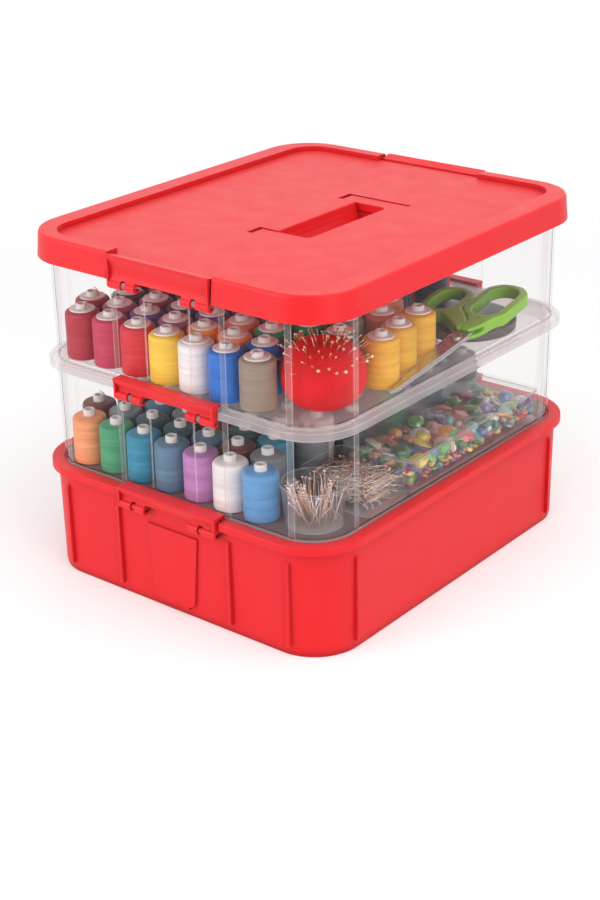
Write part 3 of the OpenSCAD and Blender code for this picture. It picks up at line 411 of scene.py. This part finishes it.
def turned(shape, profile, centre, sides, wobble=None):
    """Adds a solid of revolution: profile is (radius, height) from the bottom up."""
    rings = []
    for radius, height in profile:
        ring = []
        for i in range(sides):
            angle = 2 * math.pi * i / sides
            grow = wobble(angle, height) if wobble else 1
            ring.append(shape.verts.new(centre + Vector((radius * grow * math.cos(angle),
                                                         radius * grow * math.sin(angle), height))))
        rings.append(ring)
    for lower, upper in zip(rings, rings[1:]):
        for i in range(sides):
            j = (i + 1) % sides
            shape.faces.new((lower[i], lower[j], upper[j], upper[i])).smooth = True
    return rings


def tube(shape, points, radius, sides=6):
    """Adds a round tube of even thickness along the points, closed at both ends."""
    rings = []
    for i, point in enumerate(points):
        along = (points[min(i + 1, len(points) - 1)] - points[max(i - 1, 0)]).normalized()
        side = along.orthogonal().normalized()
        other = along.cross(side)
        rings.append([shape.verts.new(point + radius * (math.cos(a) * side + math.sin(a) * other))
                      for a in (2 * math.pi * k / sides for k in range(sides))])
    for lower, upper in zip(rings, rings[1:]):
        turn = min(range(sides), key=lambda s: (upper[s].co - lower[0].co).length)
        for i in range(sides):
            j = (i + 1) % sides
            shape.faces.new((lower[i], lower[j], upper[(j + turn) % sides],
                             upper[(i + turn) % sides])).smooth = True
    shape.faces.new(list(reversed(rings[0])))
    shape.faces.new(rings[-1])


def islands(node):
    """The lowest and highest corners of each separate solid in a CAD node."""
    mesh = nodes[node].data
    parent = {}

    def root(key):
        while parent[key] != key:
            parent[key] = parent[parent[key]]
            key = parent[key]
        return key

    keys = [tuple(round(c * 1e5) for c in v.co) for v in mesh.vertices]
    for key in keys:
        parent.setdefault(key, key)
    for edge in mesh.edges:
        a, b = (root(keys[i]) for i in edge.vertices)
        if a != b:
            parent[a] = b
    groups = {}
    for vertex, key in zip(mesh.vertices, keys):
        groups.setdefault(root(key), []).append(vertex.co)
    found = [(Vector([min(c[i] for c in g) for i in range(3)]), Vector([max(c[i] for c in g) for i in range(3)]))
             for g in groups.values()]
    return sorted(found, key=lambda pair: (round(pair[0].y, 5), round(pair[0].x, 5)))


WINDING_SIDES = 48
CORE_R = 4.4 * MM


def winding_profile(radius, height):
    """A winding's outline: soft lower edge, a faint waist line half way up and a rounded shoulder."""
    shoulder = 3.2 * MM
    outline = [(CORE_R, 0), (radius - 1.2 * MM, 0), (radius - 0.3 * MM, 0.5 * MM), (radius, 1.5 * MM),
               (radius, height * 0.3), (radius, height * 0.47), (radius - 0.22 * MM, height * 0.49),
               (radius, height * 0.51), (radius, height * 0.75), (radius, height - shoulder)]
    for step in range(1, 6):
        angle = math.pi / 2 * step / 5
        outline.append((radius - shoulder * (1 - math.cos(angle)), height - shoulder * (1 - math.sin(angle)) * 0.9))
    outline.append((CORE_R, height))
    return outline


def thread_tail(shape, centre, top, chance):
    """The loose end of the thread, tucked into the spool's core and standing a little proud."""
    start = chance.uniform(0, 2 * math.pi)
    rise = chance.uniform(0.5, 2.0) * MM
    reach = chance.uniform(3.0, 5.5) * MM
    points = []
    for i in range(7):
        t = i / 6
        angle = start + 1.2 * t
        radius = (5.8 * MM) * (1 - t) + reach * t * 0.5
        points.append(Vector((centre.x + radius * math.cos(angle), centre.y + radius * math.sin(angle),
                              top + 1.5 * MM + 4 * MM * math.sin(math.pi * min(t * 1.2, 1) / 2) + rise * t * t)))
    tube(shape, points, 0.22 * MM, 5)


def wind_threads():
    """Each colour's windings become one piece of soft-edged rolls of thread with loose ends."""
    chance = random.Random(7)
    for node in sorted(nodes):
        if "_thread_" not in node:
            continue
        shape = bmesh.new()
        for low, high in islands(node):
            centre = Vector(((low.x + high.x) / 2, (low.y + high.y) / 2, low.z))
            turned(shape, winding_profile((high.x - low.x) / 2, high.z - low.z), centre, WINDING_SIDES)
            if chance.random() < 0.6:
                thread_tail(shape, centre, high.z, chance)
        slot = slot_of[node]
        piece("wound_" + node, shape, body_of[node], thread("thread_" + node, linear(slot_colour[slot])),
              replaced=[node], slot=slot)


LOBES = 8


def make_pincushion():
    """A stuffed velvet ball, gathered into lobes by furrows that meet at the dimple on top."""
    low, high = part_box("pincushion")
    centre = Vector(((low.x + high.x) / 2, (low.y + high.y) / 2, low.z))
    radius, height = (high.x - low.x) / 2, high.z - low.z
    rings, sides = 72, 240
    sink = 5 * MM

    def outline(t):
        up = math.radians(-62 + 152 * t)
        return (radius * max(math.cos(up), 0) ** 0.75,
                (height + 0.2 * MM) * (math.sin(up) + math.sin(math.radians(62))) / (1 + math.sin(math.radians(62))))

    shape = bmesh.new()
    grid = []
    for j in range(rings):
        r, z = outline(j / (rings - 1))
        dip = sink * math.exp(-(r / (0.3 * radius)) ** 2) if j > rings / 2 else 0
        ring = []
        for i in range(sides):
            angle = 2 * math.pi * i / sides
            furrow = 1 - 0.07 * abs(math.cos(LOBES * angle / 2)) ** 8 * math.sin(math.pi * j / rings) ** 0.5
            ring.append(shape.verts.new(centre + Vector((r * furrow * math.cos(angle),
                                                         r * furrow * math.sin(angle), z - dip))))
        grid.append(ring)
    for lower, upper in zip(grid, grid[1:]):
        for i in range(sides):
            k = (i + 1) % sides
            shape.faces.new((lower[i], lower[k], upper[k], upper[i])).smooth = True
    shape.faces.new(list(reversed(grid[0])))
    bmesh.ops.remove_doubles(shape, verts=shape.verts, dist=0.01 * MM)
    cushion = piece("velvet_pincushion", shape, body_of["pincushion"],
                    velvet("velvet", linear([0.94, 0.04, 0.09])), replaced=["pincushion"], slot="velvet")
    return centre, radius, height


def pin(shape, foot, tip, shaft, head):
    """A pin from its foot to its head."""
    tube(shape, [foot, tip], shaft, 6)
    if head:
        bmesh.ops.create_uvsphere(shape, u_segments=12, v_segments=8, radius=head,
                                  matrix=Matrix.Translation(tip))


def stick_pins(centre, radius, height):
    """Short pins with pearl and gilt heads, stuck all over the upper half of the cushion."""
    chance = random.Random(11)
    shape = bmesh.new()
    hub = centre + Vector((0, 0, height * 0.5 - 2 * MM))
    count = 84
    for i in range(count):
        lean = 4 + 62 * math.sqrt((i + 0.5) / count)
        turn = math.radians(i * 137.5 + 70)
        wander = chance.uniform(-9, 9)
        aim = Vector((math.sin(math.radians(lean + wander)) * math.cos(turn),
                      math.sin(math.radians(lean + wander)) * math.sin(turn), math.cos(math.radians(lean + wander))))
        out = chance.uniform(2.5, 6.0) * MM
        skin = (19.5 + 0.19 * lean) * MM
        pin(shape, hub + aim * (skin - 3 * MM), hub + aim * (skin + out), 0.32 * MM,
            chance.choice([0.6, 0.8, 0.8, 1.2]) * MM)
    for face in shape.faces:
        face.smooth = True
    piece("cushion_pins", shape, "upper_tray", pin_heads, replaced=["pincushion_pins"], slot="ball_pins")


def round_grips():
    """The scissor grips with their edges melted round, as soft moulded loops."""
    for node in ("scissor_grip_left", "scissor_grip_right"):
        shape = bmesh.new()
        shape.from_mesh(nodes[node].data)
        bmesh.ops.remove_doubles(shape, verts=shape.verts, dist=0.01 * MM)
        shape.normal_update()
        for vert in shape.verts:
            sideways = Vector((vert.normal.x, vert.normal.y, 0))
            if sideways.length > 0.2:
                vert.co += sideways.normalized() * 0.45 * MM
        grip = piece("soft_" + node, shape, body_of[node], grip_plastic, replaced=[node], slot=slot_of[node])
        remesh = grip.modifiers.new("remesh", "REMESH")
        remesh.mode, remesh.voxel_size, remesh.use_smooth_shade = "VOXEL", 0.7 * MM, True
        melt = grip.modifiers.new("melt", "SMOOTH")
        melt.factor, melt.iterations = 0.6, 14


def heap_of_pins():
    """Loose pins heaped in their box, crossing each other in thin layers."""
    low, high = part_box("box_pins")
    box_low, box_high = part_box("pin_box")
    chance = random.Random(5)
    shape = bmesh.new()
    half_x, half_y = (box_high.x - box_low.x) / 2 - 3 * MM, (box_high.y - box_low.y) / 2 - 3 * MM
    middle = (box_low + box_high) / 2
    count = 520
    for i in range(count):
        level = low.z + 0.6 * MM + (box_high.z - 5 * MM - low.z) * (i / count) ** 0.9
        length = chance.uniform(20, 30) * MM
        turn = chance.uniform(0, math.pi)
        tilt = chance.uniform(-0.12, 0.12)
        reach = Vector((math.cos(turn), math.sin(turn), tilt)) * length / 2
        spread_x, spread_y = half_x - abs(reach.x), half_y - abs(reach.y)
        at = Vector((middle.x + chance.uniform(-spread_x, spread_x), middle.y + chance.uniform(-spread_y, spread_y),
                     max(level, low.z + 0.5 * MM + abs(reach.z))))
        pin(shape, at - reach, at + reach, 0.34 * MM, 0.8 * MM if i % 3 == 0 else 0)
    for face in shape.faces:
        face.smooth = True
    piece("pin_heap", shape, body_of["box_pins"], loose_pins, replaced=["box_pins"], slot="loose_pin_metal")


def pins_in_cup():
    """Thin pins fanned out in the cup, leaning on its rim."""
    low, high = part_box("pin_cup")
    chance = random.Random(3)
    shape = bmesh.new()
    centre = Vector(((low.x + high.x) / 2, (low.y + high.y) / 2, low.z + 1.4 * MM))
    for i in range(96):
        turn = chance.uniform(0, 2 * math.pi)
        swing = turn + chance.uniform(-0.9, 0.9)
        start = chance.uniform(1, 15) * MM
        end = chance.uniform(9, 20) * MM
        foot = centre + Vector((start * math.cos(turn), start * math.sin(turn), 0.3 * MM))
        tip = centre + Vector((end * math.cos(swing), end * math.sin(swing), chance.uniform(16, 30) * MM))
        pin(shape, foot, tip, 0.3 * MM, chance.choice([0, 0.6, 0.8, 1.1]) * MM)
    for face in shape.faces:
        face.smooth = True
    piece("pins_in_cup", shape, "lower_tray", loose_pins, replaced=["cup_pins"], slot="cup_pin_metal")


def button(shape, radius, place):
    """A flat round button with a raised rim."""
    profile = [(0, 0), (radius - 0.5 * MM, 0), (radius, 0.5 * MM), (radius, 1.7 * MM), (radius - 0.5 * MM, 2.3 * MM),
               (radius - 1.3 * MM, 2.2 * MM), (radius - 1.9 * MM, 1.5 * MM), (0, 1.5 * MM)]
    rings = turned(shape, profile, Vector((0, 0, -1.1 * MM)), 28)
    for corner in (vert for ring in rings for vert in ring):
        corner.co = place @ corner.co


def gem(shape, radius, place):
    """A cut glass stone: a flat table, two rows of facets and a point below."""
    sides = 8
    rows = [(0.55, 0.42), (0.9, 0.2), (1.0, 0.05), (0.62, -0.3)]
    rings = []
    for j, (wide, level) in enumerate(rows):
        rings.append([shape.verts.new(place @ Vector((radius * wide * math.cos(2 * math.pi * (i + j / 2) / sides),
                                                      radius * wide * math.sin(2 * math.pi * (i + j / 2) / sides),
                                                      radius * level))) for i in range(sides)])
    tip = shape.verts.new(place @ Vector((0, 0, -0.62 * radius)))
    shape.faces.new(rings[0])
    for upper, lower in zip(rings, rings[1:]):
        for i in range(sides):
            j = (i + 1) % sides
            shape.faces.new((upper[i], lower[i], upper[j]))
            shape.faces.new((upper[j], lower[i], lower[j]))
    for i in range(sides):
        shape.faces.new((rings[-1][i], tip, rings[-1][(i + 1) % sides]))


def ball(shape, radius, place, stretch):
    before = len(shape.faces)
    bmesh.ops.create_uvsphere(shape, u_segments=20, v_segments=12, radius=radius,
                              matrix=place @ Matrix.Diagonal((1, stretch[0], stretch[1], 1)))
    shape.faces.ensure_lookup_table()
    for face in shape.faces[before:]:
        face.smooth = True


BEAD_COLOURS = {
    "beads_red": [[0.86, 0.10, 0.16], [0.93, 0.38, 0.42], [0.62, 0.08, 0.20], [0.90, 0.20, 0.30], [0.96, 0.62, 0.66],
                  [0.46, 0.28, 0.62], [0.36, 0.20, 0.52], [0.88, 0.30, 0.18]],
    "beads_green": [[0.10, 0.62, 0.24], [0.35, 0.75, 0.30], [0.10, 0.45, 0.30], [0.48, 0.80, 0.76], [0.15, 0.58, 0.62],
                    [0.30, 0.45, 0.75], [0.16, 0.52, 0.22], [0.55, 0.62, 0.40]],
    "beads_yellow": [[0.98, 0.80, 0.20], [0.96, 0.62, 0.20], [0.93, 0.90, 0.85], [0.94, 0.76, 0.66], [0.90, 0.66, 0.30],
                     [0.97, 0.95, 0.92], [0.99, 0.87, 0.30], [0.70, 0.44, 0.26]]}


def jumble_of_beads():
    """Beads, cut stones and buttons of many sizes heaped under the lid of their box."""
    low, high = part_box("bead_box")
    chance = random.Random(23)
    shapes = {node: bmesh.new() for node in BEAD_COLOURS}
    half_x, half_y = (high.x - low.x) / 2 - 2 * MM, (high.y - low.y) / 2 - 2 * MM
    middle = (low + high) / 2
    layers = ((4.4, 7.2, 2.6, 3.6), (9.2, 12.5, 3.6, 7.0), (14.0, 13.5, 3.8, 8.6), (18.0, 15.5, 4.0, 9.0))
    for level, pitch, least, most in layers:
        across, along = int(2 * half_x / (pitch * MM)), int(2 * half_y / (pitch * MM))
        for i in range(across):
            for j in range(along):
                node = chance.choice(sorted(shapes))
                size = chance.uniform(least, most) * MM
                x = middle.x + (i - (across - 1) / 2) * 2 * half_x / across + chance.uniform(-2, 2) * MM
                y = middle.y + (j - (along - 1) / 2) * 2 * half_y / along + chance.uniform(-2.5, 2.5) * MM
                x = min(max(x, middle.x - half_x + size), middle.x + half_x - size)
                y = min(max(y, middle.y - half_y + size), middle.y + half_y - size)
                z = min(max(low.z + level * MM + chance.uniform(-1, 1) * MM, low.z + 1.6 * MM + size * 0.8),
                        high.z - 3.6 * MM - size * 0.75)
                tilt = Matrix.Rotation(chance.uniform(-0.5, 0.5), 4, "X") @ Matrix.Rotation(
                    chance.uniform(-0.5, 0.5), 4, "Y") @ Matrix.Rotation(chance.uniform(0, 3.1), 4, "Z")
                place = Matrix.Translation((x, y, z)) @ tilt
                kind = chance.random()
                if kind < 0.20:
                    button(shapes[node], size * 1.2, place)
                elif kind < 0.62:
                    gem(shapes[node], size * 1.2, place)
                else:
                    ball(shapes[node], size * 0.8, place, chance.choice([(1, 1), (0.8, 0.6), (1.2, 0.75), (0.7, 0.7)]))
    for level in (5.6, 10.5):
        for side in range(24):
            node = chance.choice(sorted(shapes))
            size = chance.uniform(2.6, 4.4) * MM
            along = side < 18
            x = middle.x + half_x - size if along else middle.x - half_x + (side - 17.5) * half_x / 3
            y = middle.y - half_y + (side + chance.uniform(0.2, 0.8)) * half_y / 9 if along else middle.y - half_y + size
            y = min(max(y, middle.y - half_y + size), middle.y + half_y - size)
            turn = Matrix.Rotation(chance.uniform(0, 3.1), 4, "X") if size < 3.6 * MM else Matrix.Identity(4)
            place = Matrix.Translation((x, y, low.z + level * MM + chance.uniform(-0.9, 1.6) * MM)) @ turn
            if chance.random() < 0.5:
                gem(shapes[node], size, place)
            else:
                ball(shapes[node], size, place, chance.choice([(1, 1), (1.0, 0.7), (0.7, 0.9)]))
    for node, shape in shapes.items():
        bmesh.ops.remove_doubles(shape, verts=shape.verts, dist=0.001 * MM)
        piece("jumbled_" + node, shape, body_of[node],
              many_coloured("glassy_" + node, BEAD_COLOURS[node], 0.09, 0.12, specular=0.9, coat=1.0),
              replaced=[node], slot=slot_of[node])


# Stage

def add_stage():
    floor_mesh = bpy.data.meshes.new("floor")
    half = 6
    floor_mesh.from_pydata([(-half, -half, 0), (half, -half, 0), (half, half, 0), (-half, half, 0)], [], [(0, 1, 2, 3)])
    floor = bpy.data.objects.new("floor", floor_mesh)
    floor.location.z = -0.0002
    made, tree, skin = material("floor_white")
    tree.nodes.remove(skin)
    path = add(tree, "LightPath").outputs
    sight = math_node(tree, "MAXIMUM", path["Is Camera Ray"], path["Is Transmission Ray"])
    paper = ramp(tree, noise(tree, 3, 2), (0.0, 0.83), (1.0, 0.85))
    matt = add(tree, "BsdfDiffuse", {"Color": paper}).outputs[0]
    glow = add(tree, "Emission", {"Color": [1, 1, 1, 1], "Strength": math_node(tree, "MULTIPLY", sight, 0.24)})
    near = add(tree, "AddShader", {0: matt, 1: glow.outputs[0]}).outputs[0]
    away = add(tree, "VectorMath", {0: object_place(tree)}, operation="LENGTH").outputs["Value"]
    far = add(tree, "MapRange", {"Value": away, "From Min": 0.35, "From Max": 0.9}).outputs[0]
    white = add(tree, "Emission", {"Color": [1, 1, 1, 1], "Strength": 1.0}).outputs[0]
    tree.links.new(add(tree, "MixShader", {0: math_node(tree, "MULTIPLY", far, sight), 1: near, 2: white}).outputs[0],
                   tree.nodes["Material Output"].inputs["Surface"])
    floor_mesh.materials.append(made)
    bpy.context.scene.collection.objects.link(floor)

    world = bpy.data.worlds.new("studio")
    bpy.context.scene.world = world
    world.use_nodes = True
    tree = world.node_tree
    path = add(tree, "LightPath")
    seen = math_node(tree, "MAXIMUM", path.outputs["Is Camera Ray"],
                     math_node(tree, "MAXIMUM", path.outputs["Is Glossy Ray"], path.outputs["Is Transmission Ray"]))
    strength = add(tree, "MapRange", {"Value": seen, "To Min": 0.55, "To Max": 1.0}).outputs[0]
    background = tree.nodes["Background"]
    background.inputs["Color"].default_value = (1, 1, 1, 1)
    tree.links.new(strength, background.inputs["Strength"])


def add_lamp(name, at, target, size, power):
    data = bpy.data.lights.new(name, "AREA")
    data.shape = "RECTANGLE"
    data.size, data.size_y = size
    data.energy = power
    lamp = bpy.data.objects.new(name, data)
    lamp.location = at
    lamp.rotation_euler = (Vector(target) - Vector(at)).to_track_quat("-Z", "Y").to_euler()
    bpy.context.scene.collection.objects.link(lamp)


add_camera()
add_stage()
add_lamp("top_softbox", (0.45, -0.15, 1.6), (0, 0, 0.15), (1.4, 1.4), 12.6)
add_lamp("front_left_softbox", (-0.75, -1.6, 0.6), (0, 0, 0.14), (1.3, 0.9), 11.4)
add_lamp("right_softbox", (1.75, -0.5, 0.5), (0, 0, 0.14), (1.2, 0.9), 8.2)
wind_threads()
stick_pins(*make_pincushion())
round_grips()
heap_of_pins()
pins_in_cup()
jumble_of_beads()

scene = bpy.context.scene
scene.view_settings.view_transform = "Standard"
bpy.context.view_layer.update()
